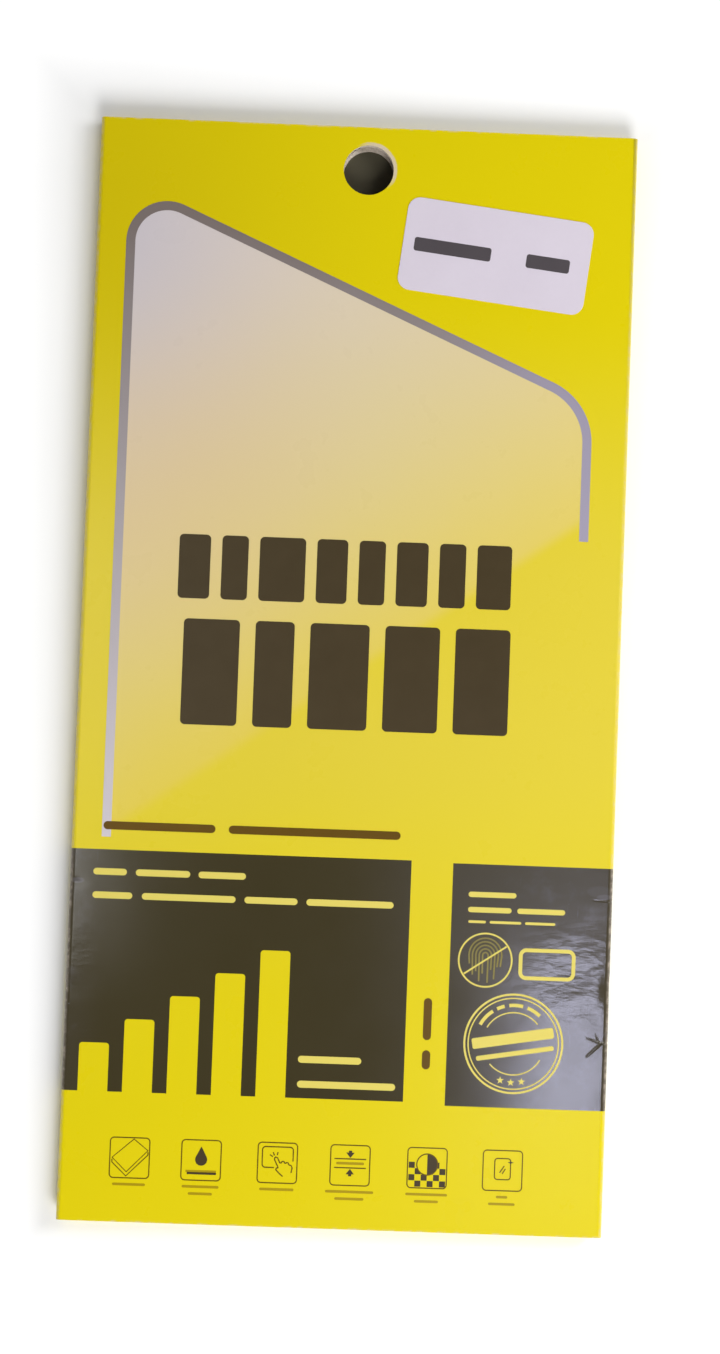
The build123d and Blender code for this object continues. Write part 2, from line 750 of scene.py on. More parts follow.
@dataclass(frozen=True)
class SolidInk:
    """One printed ink that is a little uneven.

    Attributes:
        name: the material's name.
        colour: the ink.
        uneven: the ink where it lies thinner.
        rough: roughness of the film over it.
        patch: width of the thinner places, and how thin they get.
        film: the film over it.
    """

    name: str
    colour: Colour
    uneven: Colour
    rough: float = 0.3
    patch: Point = (4.0, 0.6)
    film: Laminate = Laminate()

    def build(self) -> Finish:
        """Builds the print under its film.

        Returns:
            The finished material.
        """
        shader = Shader(self.name)
        at = shader.place()
        thin = shader.noise(at.vector, self.patch[0], detail=5.0) * self.patch[1]
        return self.film.cover(shader, at, shader.mix(thin, self.colour, self.uneven), self.rough)


@dataclass(frozen=True)
class RawBoard:
    """Grey-white board where it is cut or seen from inside, with its fibres.

    Attributes:
        name: the material's name.
        pale: its colour.
        shade: its darker colour, between the fibres.
        gaps: the noise at which the darker colour starts to fade and is gone.
        fibre: width of the fibres, how many finer layers they have, and how strong those are.
        height: how far the fibres stand up.
        rough: its least roughness, and how much the fibres add.
        shine: how strongly it mirrors.
    """

    name: str = "raw_board"
    pale: Colour = ink(220, 208, 194)
    shade: Colour = ink(184, 172, 158)
    gaps: Point = (0.3, 0.75)
    fibre: Triple = (0.5, 6.0, 0.7)
    height: float = 0.03
    rough: Point = (0.75, 0.2)
    shine: float = 0.2

    def shaded(self, shader: Shader, at: Place, fibre: Signal) -> Signal:
        """Returns the share of the darker colour at a point."""
        return 1 - shader.rise(fibre, *self.gaps)

    def build(self) -> Finish:
        """Builds the stock with its fibres.

        Returns:
            The finished material.
        """
        shader = Shader(self.name)
        at = shader.place()
        fibre = shader.noise(at.vector, *self.fibre)
        return shader.finish(
            base_color=shader.mix(self.shaded(shader, at, fibre), self.pale, self.shade),
            roughness=self.rough[0] + fibre * self.rough[1],
            specular_ior_level=self.shine,
            normal=shader.relief(fibre * self.height),
        )


@dataclass(frozen=True)
class LabelPaper(RawBoard):
    """Matt coated label paper, faintly lilac, with soft fibres and clouds of the darker colour.

    Attributes:
        cloud: width of the clouds.
        cloud_share: how dark a cloud is, how dark a fibre is, and how much less both are.
    """

    name: str = "label_paper_coat"
    pale: Colour = ink(222, 213, 226)
    shade: Colour = ink(204, 194, 207)
    fibre: Triple = (0.7, 6.0, 0.65)
    height: float = 0.006
    rough: Point = (0.5, 0.15)
    shine: float = 0.35
    cloud: float = 8.0
    cloud_share: Triple = (0.5, 0.2, 0.1)

    def shaded(self, shader: Shader, at: Place, fibre: Signal) -> Signal:
        """Returns the share of the darker colour at a point."""
        in_cloud, in_fibre, less = self.cloud_share
        return shader.noise(at.vector, self.cloud) * in_cloud + fibre * in_fibre - less


class Form(Enum):
    """What a Geometry Nodes tree makes of its base mesh."""

    BLOCKS = "ink_blocks"
    LINES = "ink_lines"
    SHAPES = "ink_shapes"


class PrintTree(Graph):
    """A Geometry Nodes tree that makes thin closed films of ink."""

    def __init__(self, form: Form, sizes: Mapping[str, type]) -> None:
        """Starts a tree with named inputs.

        Args:
            form: what the tree makes.
            sizes: its inputs after the base mesh, by name, with the type of each.
        """
        super().__init__(bpy.data.node_groups.new(form.value, "GeometryNodeTree"))
        kinds = {float: "NodeSocketFloat", int: "NodeSocketInt", Finish: "NodeSocketMaterial"}
        face = self.tree.interface
        face.new_socket("Base", in_out="INPUT", socket_type="NodeSocketGeometry")
        for name, kind in sizes.items():
            face.new_socket(name, in_out="INPUT", socket_type=kinds[kind])
        face.new_socket("Ink", in_out="OUTPUT", socket_type="NodeSocketGeometry")
        self.entry = self.tree.nodes.new("NodeGroupInput")
        self.exit = self.tree.nodes.new("NodeGroupOutput")

    def size(self, name: str) -> Signal:
        """Returns one of the tree's named inputs."""
        return Signal(self, self.entry.outputs[name])

    def attribute(self, name: str, kind: str) -> Signal:
        """Returns a value that the base mesh's points carry."""
        return self.node("GeometryNodeInputNamedAttribute", {"data_type": kind}, {"Name": name})

    def vector(self, x: Value, y: Value, z: Value) -> Signal:
        """Returns a vector of three values."""
        return self.node("ShaderNodeCombineXYZ", None, {0: x, 1: y, 2: z})

    def paths(self) -> Signal:
        """Returns the base mesh's edges as curves."""
        return self.node("GeometryNodeMeshToCurve", None, {"Mesh": self.size("Base")})

    def rounded(self, curve: Signal, radius: Signal, steps: Signal | int) -> Signal:
        """Returns the curve with rounded corners of some runs each."""
        sizes = {"Curve": curve, "Count": steps, "Radius": radius, "Limit Radius": True}
        return self.node("GeometryNodeFilletCurve", {"mode": "POLY"}, sizes)

    def squares(self, points: Signal, rotation: Signal, scale: Signal) -> Signal:
        """Puts a unit square on each point.

        Args:
            points: the points.
            rotation: how each square is turned.
            scale: how each square is scaled.

        Returns:
            The squares as plain curves.
        """
        square = self.node("GeometryNodeCurvePrimitiveQuadrilateral", None, {"Width": 1.0, "Height": 1.0})
        placed = {"Points": points, "Instance": square, "Rotation": rotation, "Scale": scale}
        instances = self.node("GeometryNodeInstanceOnPoints", None, placed)
        return self.node("GeometryNodeRealizeInstances", None, {"Geometry": instances})

    def film(self, curve: Signal) -> Signal:
        """Fills curves with closed films, at the level and as thick as the tree's inputs say.

        Args:
            curve: the curves.

        Returns:
            The films.
        """
        flat = self.node("GeometryNodeFillCurve", {"mode": "NGONS"}, {"Curve": curve})
        up = {"Mesh": flat, "Offset": (0.0, 0.0, 1.0), "Offset Scale": self.size("Thickness")}
        raised = self.node("GeometryNodeExtrudeMesh", {"mode": "FACES"}, up | {"Individual": False})
        under = self.node("GeometryNodeFlipFaces", None, {"Mesh": flat})
        shell = self.node("GeometryNodeJoinGeometry", None, {"Geometry": [raised, under]})
        lift = {"Geometry": shell, "Translation": self.vector(0.0, 0.0, self.size("Level"))}
        return self.node("GeometryNodeTransform", None, lift)

    def ribbon(self, curve: Signal) -> Signal:
        """Lays closed flat ribbons along curves, as wide and thick as the tree's inputs say.

        Args:
            curve: the curves.

        Returns:
            The ribbons.
        """
        level = self.node("GeometryNodeSetCurveNormal", {"mode": "Z_UP"}, {"Curve": curve})
        section = {"Width": self.size("Width"), "Height": self.size("Thickness")}
        profile = self.node("GeometryNodeCurvePrimitiveQuadrilateral", None, section)
        swept = {"Curve": level, "Profile Curve": profile, "Fill Caps": True}
        return self.node("GeometryNodeCurveToMesh", None, swept)

    def close(self, shapes: Signal) -> Tree:
        """Joins loose edges, sets the ink and ends the tree.

        Args:
            shapes: what the tree has made.

        Returns:
            The finished tree.
        """
        whole = self.node("GeometryNodeRealizeInstances", None, {"Geometry": shapes})
        merged = self.node("GeometryNodeMergeByDistance", None, {"Geometry": whole, "Distance": 1e-7})
        flat = self.node("GeometryNodeSetShadeSmooth", None, {"Geometry": merged, "Shade Smooth": False})
        inked = self.node("GeometryNodeSetMaterial", None, {"Geometry": flat, "Material": self.size("Ink")})
        self.feed(self.exit.inputs[0], inked)
        return self.tree


@dataclass(frozen=True)
class Block:
    """A printed rectangle: its middle, its size and its turn in degrees."""

    x: float
    y: float
    width: float
    height: float
    turn: float = 0.0


@dataclass(frozen=True)
class Word:
    """A bar that holds the place of a printed word, from one point to another."""

    start: Point
    end: Point

    def block(self, height: float) -> Block:
        """Returns the bar as a block of some height."""
        middle, run = (Vector(self.start) + Vector(self.end)) / 2, Vector(self.end) - Vector(self.start)
        return Block(*middle, run.length, height, math.degrees(math.atan2(run.y, run.x)))


@dataclass(frozen=True)
class Path:
    """A printed line or outline: its points, whether it closes, and how its corners are rounded."""

    points: tuple[Point, ...]
    closed: bool = True
    corners: tuple[float, ...] = ()


def words_along(level: float, *ends: Point) -> tuple[Word, ...]:
    """Returns words on one level line, each between two places along X."""
    return tuple(Word((left, level), (right, level)) for left, right in ends)


def around(middle: Point, radius: float, turn: float) -> Point:
    """Returns the point at an angle in degrees on a circle."""
    angle = math.radians(turn)
    return (middle[0] + radius * math.cos(angle), middle[1] + radius * math.sin(angle))


def arc(middle: Point, radius: float, start: float, end: float, steps: int) -> tuple[Point, ...]:
    """Follows an arc.

    Args:
        middle: the arc's centre.
        radius: its radius.
        start: the angle of its first point, in degrees from X.
        end: the angle of its last point.
        steps: how many runs it has.

    Returns:
        The points, both ends included.
    """
    return tuple(around(middle, radius, start + (end - start) * step / steps) for step in range(steps + 1))


def ring(middle: Point, radius: float, steps: int = 72) -> Path:
    """Returns a closed circle."""
    return Path(arc(middle, radius, 0.0, 360.0 - 360.0 / steps, steps - 1))


def star(middle: Point, outer: float, inner: float, tips: int) -> Path:
    """Returns a closed star with one tip up, whose tips and notches are so far out."""
    radii = enumerate((outer, inner) * tips)
    return Path(tuple(around(middle, radius, 90.0 + 180.0 * step / tips) for step, radius in radii))


def frame_path(middle: Point, width: float, height: float, corner: float) -> Path:
    """Draws a rectangle.

    Args:
        middle: its middle.
        width: its width.
        height: its height.
        corner: the radius of its corners.

    Returns:
        Its closed outline.
    """
    signs = ((-1, -1), (1, -1), (1, 1), (-1, 1))
    points = tuple((middle[0] + across * width / 2, middle[1] + up * height / 2) for across, up in signs)
    return Path(points, True, (corner,) * len(points))


@dataclass(frozen=True)
class Inks:
    """The finishes of the print.

    Attributes:
        ground: the carton's yellow.
        pane: the pale field.
        stripe: the grey stripe round it.
        dark: large blocks and dark fills.
        brown: small dark lines on the yellow.
        line: the icons' drawn lines.
        caption: the icons' captions.
        pale: print on the dark panels.
        dull: faint print on the dark panels.
        label: print on the label.
    """

    ground: Finish
    pane: Finish
    stripe: Finish
    dark: Finish
    brown: Finish
    line: Finish
    caption: Finish
    pale: Finish
    dull: Finish
    label: Finish


class InkPress:
    """Prints layouts on the front of the pack as thin closed films of ink, with Geometry Nodes.

    Attributes:
        hair: how much higher each path of a layout lies than the one before, so that no faces coincide.
        block_steps: how many runs a rounded corner of a block has.
    """

    hair: float = 0.0006
    block_steps: int = 5

    def __init__(self, inks: Inks) -> None:
        """Takes the inks and builds the trees.

        Args:
            inks: the finishes of the print.
        """
        self.inks = inks
        self.trees = {
            Form.BLOCKS: self._block_tree(),
            Form.LINES: self._line_tree(),
            Form.SHAPES: self._shape_tree(),
        }

    def _block_tree(self) -> Tree:
        """Wires up single blocks, whose size and turn their points carry.

        Returns:
            The tree.
        """
        sizes = {"Corner": float, "Level": float, "Thickness": float, "Ink": Finish}
        tree = PrintTree(Form.BLOCKS, sizes)
        spin = tree.vector(0.0, 0.0, tree.attribute("block_turn", "FLOAT"))
        rotation = tree.node("FunctionNodeEulerToRotation", None, {"Euler": spin})
        scale = tree.attribute("block_size", "FLOAT_VECTOR")
        outlines = tree.squares(tree.size("Base"), rotation, scale)
        return tree.close(tree.film(tree.rounded(outlines, tree.size("Corner"), self.block_steps)))

    @staticmethod
    def _line_tree() -> Tree:
        """Wires up flat ribbons along the base mesh's edges, whose corners the points carry.

        Returns:
            The tree.
        """
        sizes = {"Width": float, "Thickness": float, "Steps": int, "Ink": Finish}
        tree = PrintTree(Form.LINES, sizes)
        curves = tree.paths()
        bent = tree.rounded(curves, tree.attribute("corner", "FLOAT"), tree.size("Steps"))
        choice = {"Switch": tree.size("Steps"), "False": curves, "True": bent}
        chosen = tree.node("GeometryNodeSwitch", {"input_type": "GEOMETRY"}, choice)
        return tree.close(tree.ribbon(chosen))

    @staticmethod
    def _shape_tree() -> Tree:
        """Returns the tree for films that fill the base mesh's closed outlines."""
        tree = PrintTree(Form.SHAPES, {"Level": float, "Thickness": float, "Ink": Finish})
        return tree.close(tree.film(tree.paths()))

    def _piece(self, name: str, mesh: bpy.types.Mesh, form: Form, sizes: Mapping[str, object]) -> Piece:
        """Runs a tree on a base mesh.

        Args:
            name: the piece's name.
            mesh: the layout, in metres.
            form: which tree makes it.
            sizes: the tree's named inputs.

        Returns:
            The printed piece, riding on the pack.
        """
        piece = bpy.data.objects.new(name, mesh)
        bpy.context.scene.collection.objects.link(piece)
        modifier = piece.modifiers.new(form.value, "NODES")
        modifier.node_group = self.trees[form]
        face = modifier.node_group.interface.items_tree
        sockets = {each.name: each.identifier for each in face if each.in_out == "INPUT"}
        for size, value in sizes.items():
            modifier[sockets[size]] = value
        evaluated = piece.evaluated_get(bpy.context.evaluated_depsgraph_get())
        printed = bpy.data.meshes.new_from_object(evaluated)
        piece.modifiers.clear()
        piece.data = printed
        printed.name = name
        bpy.data.meshes.remove(mesh)
        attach(piece, BODY)
        log.info("%s: %d faces", name, len(printed.polygons))
        return piece

    @staticmethod
    def _base(
        points: Sequence[Point], edges: Sequence[tuple[int, int]], levels: Sequence[float]
    ) -> bpy.types.Mesh:
        """Lays out points and edges.

        Args:
            points: the points.
            edges: pairs of points.
            levels: how far over the front each point is.

        Returns:
            The mesh, in metres.
        """
        mesh = bpy.data.meshes.new("layout")
        places = [(x * MM, y * MM, (PACK.depth + level) * MM) for (x, y), level in zip(points, levels)]
        mesh.from_pydata(places, edges, [])
        return mesh

    def blocks(
        self,
        name: str,
        blocks: Sequence[Block],
        finish: Finish,
        corner: float,
        film: float,
        level: float = 0.0,
    ) -> Piece:
        """Prints rounded blocks.

        Args:
            name: the piece's name.
            blocks: the blocks.
            finish: their ink.
            corner: the radius of their corners.
            film: how thick the ink is.
            level: how far over the front it starts.

        Returns:
            The piece.
        """
        mesh = self._base([(block.x, block.y) for block in blocks], [], [level] * len(blocks))
        scales = [value for block in blocks for value in (block.width * MM, block.height * MM, 1.0)]
        mesh.attributes.new("block_size", "FLOAT_VECTOR", "POINT").data.foreach_set("vector", scales)
        turns = [math.radians(block.turn) for block in blocks]
        mesh.attributes.new("block_turn", "FLOAT", "POINT").data.foreach_set("value", turns)
        sizes = {"Corner": corner * MM, "Thickness": film * MM, "Ink": finish}
        return self._piece(name, mesh, Form.BLOCKS, sizes | {"Level": (PACK.depth + level) * MM})

    def words(self, name: str, words: Sequence[Word], finish: Finish, height: float, film: float) -> Piece:
        """Returns words that are printed as round-ended bars of some height and thickness."""
        return self.blocks(name, [word.block(height) for word in words], finish, height * 0.5, film)

    def _path_mesh(self, paths: Sequence[Path], level: float) -> bpy.types.Mesh:
        """Lays out paths, each a hair higher than the one before.

        Args:
            paths: the paths.
            level: how far over the front the first one is.

        Returns:
            A mesh of edges whose points carry their corner radius, in metres.
        """
        points, edges, corners, levels = [], [], [], []
        for index, path in enumerate(paths):
            first = len(points)
            count = len(path.points)
            points += path.points
            levels += [level + index * self.hair] * count
            corners += path.corners or (0.0,) * count
            edges += [(first + step, first + step + 1) for step in range(count - 1)]
            if path.closed:
                edges.append((first + count - 1, first))
        mesh = self._base(points, edges, levels)
        carried = mesh.attributes.new("corner", "FLOAT", "POINT")
        carried.data.foreach_set("value", [corner * MM for corner in corners])
        return mesh

    def lines(
        self, name: str, paths: Sequence[Path], finish: Finish, width: float, film: float, steps: int = 0
    ) -> Piece:
        """Returns printed lines, whose rounded corners have so many runs, or stay as they are for nought."""
        sizes = {"Width": width * MM, "Thickness": film * MM, "Steps": steps, "Ink": finish}
        return self._piece(name, self._path_mesh(paths, film / 2), Form.LINES, sizes)

    def shapes(self, name: str, paths: Sequence[Path], finish: Finish, film: float) -> Piece:
        """Returns printed outlines that are filled with ink of some thickness."""
        sizes = {"Level": PACK.depth * MM, "Thickness": film * MM, "Ink": finish}
        return self._piece(name, self._path_mesh(paths, 0.0), Form.SHAPES, sizes)


@dataclass(frozen=True)
class Dent:
    """A soft hollow pressed into the front: its middle, its reach along X and Y, and its depth."""

    x: float
    y: float
    reach: Point
    depth: float

    def drop(self, x: float, y: float) -> float:
        """Returns how far the board is pressed in at a point."""
        across, along = (x - self.x) / self.reach[0], (y - self.y) / self.reach[1]
        return self.depth * math.exp(-(across * across + along * along))


@dataclass(frozen=True)
class Crease:
    """A sharp line pressed into the front, deepest at its start and fading to its end.

    Attributes:
        start: where it starts.
        end: where it ends.
        depth: its depth at its start.
        half_width: from its bottom to its edge.
        fade: how much of its depth is gone at its end.
    """

    start: Point
    end: Point
    depth: float
    half_width: float
    fade: float = 0.8

    def drop(self, x: float, y: float) -> float:
        """Works out how far the board is pressed in at a point.

        Args:
            x: the point's place across the front.
            y: its place along the pack.

        Returns:
            The drop.
        """
        start, run = Vector(self.start), Vector(self.end) - Vector(self.start)
        share = min(max((Vector((x, y)) - start).dot(run) / run.length_squared, 0.0), 1.0)
        away = (Vector((x, y)) - start - run * share).length / self.half_width
        return self.depth * (1.0 - self.fade * share) * max(0.0, 1.0 - away)


@dataclass(frozen=True)
class Spread:
    """Even cuts square to an axis, 0 for X and 1 for Y: their two ends and their step."""

    axis: int
    start: float
    end: float
    step: float

    def cuts(self) -> list[tuple[int, float]]:
        """Returns the axis and the place of each cut between the ends."""
        count = round((self.end - self.start) / self.step)
        return [(self.axis, self.start + self.step * index) for index in range(1, count)]


@dataclass
class Carton:
    """The folded card carton: the CAD form with its creases and dents, its print and its raw cut edges.

    Attributes:
        left_panel: where the left dark panel ends along X, and its lower and upper edge.
        right_panel: where the right dark panel starts along X, and its lower and upper edge.
        panel_back: how far down the side walls the panels go.
        wear: the creases and dents.
        wear_reach: how far under the front the wear starts, and how much higher it is full.
        wear_pull: how far a fold is pulled in for each millimetre that it is pressed down.
        spreads: where the mesh is cut up for the wear: the worn stretch at the right, its sharp creases, the
            crease above them and the dent at the left fold.
        sharp: the angle in degrees from which on an edge looks sharp.
    """

    left_panel: Triple = (10.9, -67.2, -29.2)
    right_panel: Triple = (17.5, -67.6, -29.4)
    panel_back: float = 0.9
    wear: tuple[Dent | Crease, ...] = (
        Crease((43.3, -56.9), (41.7, -57.0), 0.11, 0.24),
        Crease((41.9, -57.0), (39.7, -56.2), 0.07, 0.18),
        Crease((41.9, -57.0), (39.7, -59.1), 0.09, 0.2),
        Crease((41.5, -56.8), (41.0, -55.6), 0.04, 0.16),
        Crease((43.3, -34.6), (40.0, -34.5), 0.07, 0.22),
        Dent(42.6, -48.5, (1.0, 1.8), 0.08),
        Dent(36.5, -46.0, (3.5, 4.5), 0.05),
        Dent(38.0, -62.5, (2.6, 2.4), 0.03),
        Dent(-42.2, -34.6, (1.2, 0.8), 0.05),
    )
    wear_reach: Point = (2.0, 1.2)
    wear_pull: float = 0.7
    spreads: tuple[Spread, ...] = (
        Spread(0, 27.0, 43.0, 1.0),
        Spread(1, -70.0, -28.0, 1.0),
        Spread(0, 39.0, 43.0, 0.1),
        Spread(1, -60.2, -55.0, 0.1),
        Spread(1, -35.2, -33.8, 0.1),
        Spread(0, -43.0, -39.0, 0.25),
        Spread(1, -37.0, -32.0, 0.25),
    )
    sharp: float = 34.0

    def _cuts(self) -> list[tuple[int, float]]:
        """Lists where the mesh is cut up.

        Returns:
            An axis and a place along it for each cut.
        """
        cuts = [(2, self.panel_back)]
        for side, foot, top in (self.left_panel, self.right_panel):
            cuts += [(0, side), (1, foot), (1, top)]
        return cuts + [cut for spread in self.spreads for cut in spread.cuts()]

    @staticmethod
    def _cut(mesh: bmesh.types.BMesh, axis: int, place: float) -> None:
        """Cuts the whole mesh square to an axis.

        Args:
            mesh: the mesh.
            axis: 0 for X, 1 for Y or 2 for Z.
            place: where along the axis.
        """
        normal = Vector([float(each == axis) for each in range(3)])
        parts = mesh.verts[:] + mesh.edges[:] + mesh.faces[:]
        bmesh.ops.bisect_plane(mesh, geom=parts, dist=1e-7, plane_co=normal * place * MM, plane_no=normal)

    def _press_wear(self, mesh: bmesh.types.BMesh) -> None:
        """Moves the front and its folds in along the creases and dents.

        Args:
            mesh: the mesh.
        """
        under, rise = self.wear_reach
        for vertex in mesh.verts:
            x, y, z = vertex.co * PER_MM
            share = min(max((z - (PACK.depth - under)) / rise, 0.0), 1.0)
            drop = share * sum(mark.drop(x, y) for mark in self.wear)
            vertex.co.z -= drop * MM
            if abs(x) > PACK.half_width - PACK.fold:
                vertex.co.x -= math.copysign(drop * self.wear_pull, x) * MM

    @staticmethod
    def _is_raw(face: bmesh.types.BMFace) -> bool:
        """Tells whether a face is a cut edge of the board or is inside the carton.

        Args:
            face: the face.

        Returns:
            Whether it is bare of print.
        """
        # How near a face is to a place, in millimetres, and how squarely it faces along an axis.
        slack, facing = 0.01, 0.9
        x, y, z = face.calc_center_median() * PER_MM
        from_side, from_end = PACK.half_width - abs(x), PACK.half_height - abs(y)
        shoulder = from_side < PACK.fold and from_end < PACK.fold + PACK.board
        inside = min(from_side, from_end, z, PACK.depth - z) > 0.75 * PACK.board and not shoulder
        from_hole = math.hypot(x - PACK.hole[0], y - PACK.hole[1]) - PACK.hole_radius
        hole_wall = from_hole < 5 * slack and abs(face.normal.z) < 0.5
        end_cut = abs(face.normal.y) > facing and z > PACK.depth - PACK.board - slack
        side_cut = face.normal.z < -facing and x < PACK.board - PACK.half_width + 2 * slack
        flap_cut = abs(face.normal.x) > facing and from_end < PACK.board and from_side > PACK.fold - slack
        return inside or hole_wall or end_cut or side_cut or flap_cut

    def _is_panel(self, face: bmesh.types.BMFace) -> bool:
        """Tells whether a face is printed with a dark panel.

        Args:
            face: the face.

        Returns:
            Whether it is.
        """
        x, y, z = face.calc_center_median() * PER_MM
        left = x < self.left_panel[0] and self.left_panel[1] < y < self.left_panel[2]
        right = x > self.right_panel[0] and self.right_panel[1] < y < self.right_panel[2]
        return z > self.panel_back and (left or right)

    def build(self, ground: Finish, panel: Finish, raw: Finish) -> Piece:
        """Makes the carton from its CAD form.

        Args:
            ground: the yellow outside.
            panel: the dark panels.
            raw: cut edges and the inside.

        Returns:
            The piece that stands for the CAD node.
        """
        mesh = bmesh.new()
        mesh.from_mesh(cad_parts["carton"].data)
        bmesh.ops.remove_doubles(mesh, verts=mesh.verts[:], dist=1e-6)
        for axis, place in self._cuts():
            self._cut(mesh, axis, place)
        mesh.normal_update()
        for face in mesh.faces:
            face.smooth = True
            face.material_index = 2 if self._is_raw(face) else int(self._is_panel(face))
        self._press_wear(mesh)
        mesh.normal_update()
        skin = bpy.data.meshes.new("carton_skin")
        mesh.to_mesh(skin)
        mesh.free()
        skin.set_sharp_from_angle(angle=math.radians(self.sharp))
        for finish in (ground, panel, raw):
            skin.materials.append(finish)
        piece = bpy.data.objects.new("carton_skin", skin)
        bpy.context.scene.collection.objects.link(piece)
        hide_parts("carton")
        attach(piece, BODY)
        log.info("carton_skin: %d faces", len(skin.polygons))
        return piece


@dataclass
class PanePicture:
    """The picture of a pane on the front: a pale field and the grey stripe that bends round it.

    Attributes:
        bend: the stripe's corners, from its lower left end to its right end.
        bend_radius: how each corner of the stripe is rounded.
        stripe: how wide the stripe is.
        stripe_steps: how many runs a rounded corner of the stripe has.
        field_steps: the same for the field.
        field_foot: lower corners of the field, right then left, past its soft foot.
        field_film: how thick the field's ink is.
        stripe_film: how thick the stripe's ink is.
    """

    bend: tuple[Point, ...] = ((-37.5, -27.2), (-37.5, 76.6), (36.4, 44.4), (36.4, 22.4))
    bend_radius: tuple[float, ...] = (0.0, 5.8, 9.8, 0.0)
    stripe: float = 1.45
    stripe_steps: int = 24
    field_steps: int = 16
    field_foot: tuple[Point, ...] = ((36.4, 22.6), (-37.5, -29.0))
    field_film: float = 0.012
    stripe_film: float = 0.024

    def _field(self) -> Path:
        """Follows the middle of the stripe's bends.

        Returns:
            The field's outline.
        """
        points: list[Point] = [self.field_foot[1]]
        for index in (1, 2):
            corner = Vector(self.bend[index])
            before = (Vector(self.bend[index - 1]) - corner).normalized()
            after = (Vector(self.bend[index + 1]) - corner).normalized()
            half = before.angle(after) / 2
            radius = self.bend_radius[index]
            middle = corner + (before + after).normalized() * (radius / math.sin(half))
            start = corner + before * (radius / math.tan(half)) - middle
            sweep = math.degrees(math.pi - 2 * half)
            first = math.degrees(math.atan2(start.y, start.x))
            points += arc(tuple(middle), radius, first, first - sweep, self.field_steps)
        return Path((*points, self.field_foot[0]))

    def build(self, press: InkPress) -> None:
        """Prints the field and the stripe.

        Args:
            press: prints the pieces, and holds the inks.
        """
        inks = press.inks
        press.shapes("pane_field", [self._field()], inks.pane, self.field_film)
        path = Path(self.bend, False, self.bend_radius)
        press.lines("pane_stripe", [path], inks.stripe, self.stripe, self.stripe_film, self.stripe_steps)


@dataclass(frozen=True)
class BlockRow:
    """A row of solid blocks that holds the place of a line of large type.

    Attributes:
        left: its left end.
        foot: its lower edge.
        height: how high the blocks are.
        widths: how wide each block is.
        gap: the space between two blocks.
    """

    left: float
    foot: float
    height: float
    widths: tuple[float, ...]
    gap: float

    def blocks(self) -> list[Block]:
        """Sets out the row.

        Returns:
            Its blocks, from left to right.
        """
        row: list[Block] = []
        left = self.left
        for width in self.widths:
            row.append(Block(left + width / 2, self.foot + self.height / 2, width, self.height))
            left += width + self.gap
        return row


@dataclass
class Headline:
    """The dark print over the pane.

    Attributes:
        rows: two rows of large blocks.
        corner: the radius of the blocks' corners.
        film: how thick the ink is.
        subline: the small line under the rows.
        subline_height: how high its bars are.
    """

    rows: tuple[BlockRow, ...] = (
        BlockRow(-27.8, 11.0, 10.2, (5.0, 4.2, 7.3, 4.9, 4.2, 5.0, 4.2, 5.5), 1.8),
        BlockRow(-26.6, -9.0, 16.8, (8.9, 6.2, 9.4, 8.7, 8.7), 2.5),
    )
    corner: float = 0.7
    film: float = 0.03
    subline: tuple[Word, ...] = words_along(-25.4, (-38.0, -20.3), (-18.2, 9.0))
    subline_height: float = 1.3

    def build(self, press: InkPress) -> None:
        """Prints the rows and the line under them.

        Args:
            press: prints the pieces, and holds the inks.
        """
        blocks = [block for row in self.rows for block in row.blocks()]
        press.blocks("headline_blocks", blocks, press.inks.dark, self.corner, self.film)
        press.words("headline_line", self.subline, press.inks.brown, self.subline_height, self.film)


@dataclass
class LeftPanel:
    """Print on the left dark panel: two lines of words, rising bars and two short lines.

    Attributes:
        lines: the two upper lines.
        line_height: how high their bars are.
        notes: the two short lines.
        note_height: how high their bars are.
        bars_left: left edge of the first rising bar.
        bars_foot: where the bars start, in the yellow below the panel.
        bars_top: how high the first and the last bar reach.
        bar: width of a bar, and of the space after it.
        bar_count: how many bars there are.
        corner: the radius of the bars' corners.
        marks: upright words in the yellow gap beside the panel.
        mark_width: how wide they are.
        film: how thick the ink is.
    """

    lines: tuple[Word, ...] = (
        *words_along(-32.7, (-39.3, -34.0), (-32.6, -24.0), (-22.7, -15.2)),
        *words_along(-36.4, (-39.3, -33.0), (-31.5, -16.7), (-15.3, -6.9), (-5.5, 8.3)),
    )
    line_height: float = 1.05
    notes: tuple[Word, ...] = (*words_along(-61.1, (-5.9, 4.1)), *words_along(-65.0, (-5.9, 9.6)))
    note_height: float = 1.1
    bars_left: float = -40.4
    bars_foot: float = -68.0
    bars_top: Point = (-59.6, -44.2)
    bar: Point = (4.7, 2.3)
    bar_count: int = 5
    corner: float = 0.5
    marks: tuple[Word, ...] = (Word((14.3, -62.0), (14.3, -59.0)), Word((14.3, -57.4), (14.3, -50.8)))
    mark_width: float = 1.3
    film: float = 0.02

    def _bars(self) -> list[Block]:
        """Sets out the rising bars.

        Returns:
            The bars, from left to right.
        """
        low, high = self.bars_top
        bars = []
        for index in range(self.bar_count):
            top = low + (high - low) * index / (self.bar_count - 1)
            x = self.bars_left + self.bar[0] / 2 + index * sum(self.bar)
            bars.append(Block(x, (self.bars_foot + top) / 2, self.bar[0], top - self.bars_foot))
        return bars

    def build(self, press: InkPress) -> None:
        """Prints the panel and the marks beside it.

        Args:
            press: prints the pieces, and holds the inks.
        """
        press.words("left_panel_lines", self.lines, press.inks.pale, self.line_height, self.film)
        press.words("left_panel_notes", self.notes, press.inks.pale, self.note_height, self.film)
        press.blocks("left_panel_bars", self._bars(), press.inks.ground, self.corner, self.film)
        press.words("gap_marks", self.marks, press.inks.brown, self.mark_width, self.film)


